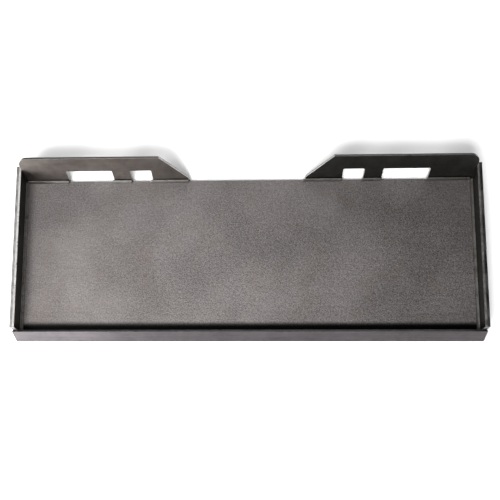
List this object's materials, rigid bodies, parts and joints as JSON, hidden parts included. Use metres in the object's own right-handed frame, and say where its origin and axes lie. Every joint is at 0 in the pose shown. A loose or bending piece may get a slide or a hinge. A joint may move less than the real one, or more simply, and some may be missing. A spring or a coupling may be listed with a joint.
{
  "type": "skid steer quick attach plate",
  "caption": "Flat welded steel attachment plate with an acute hook rail along one edge, two leaning latch flanges with windows along the other, and an end plate at each side.",
  "frame": {"origin": "middle of the main plate on the weld face, which is the flat face away from the coupler", "axes": "+X across the width to the right end plate, +Y towards the latch flanges, +Z out of the coupler side. In use the part stands with -Y up."},
  "size_m": [1.156, 0.4517, 0.0761],
  "materials": {
    "mill_scale_plate": "raw hot rolled plate, fine pebbled mill scale",
    "hook_bar": "raw hot rolled bar, faint lengthwise streaks",
    "left_flange_plate": "raw hot rolled plate, smooth dark scale",
    "right_flange_plate": "raw hot rolled plate, smooth dark scale",
    "end_plate_steel": "raw hot rolled plate with bright cut edges",
    "weld_metal": "bright fillet weld bead"
  },
  "bodies": {
    "root": {"main_plate": "mill_scale_plate", "hook_rail": "hook_bar", "left_latch_flange": "left_flange_plate", "right_latch_flange": "right_flange_plate", "left_end_plate": "end_plate_steel", "right_end_plate": "end_plate_steel", "left_end_weld": "weld_metal", "right_end_weld": "weld_metal", "hook_weld": "weld_metal", "left_flange_weld_outer": "weld_metal", "left_flange_weld_middle": "weld_metal", "left_flange_weld_inner": "weld_metal", "right_flange_weld_outer": "weld_metal", "right_flange_weld_middle": "weld_metal", "right_flange_weld_inner": "weld_metal"}
  },
  "joints": []
}
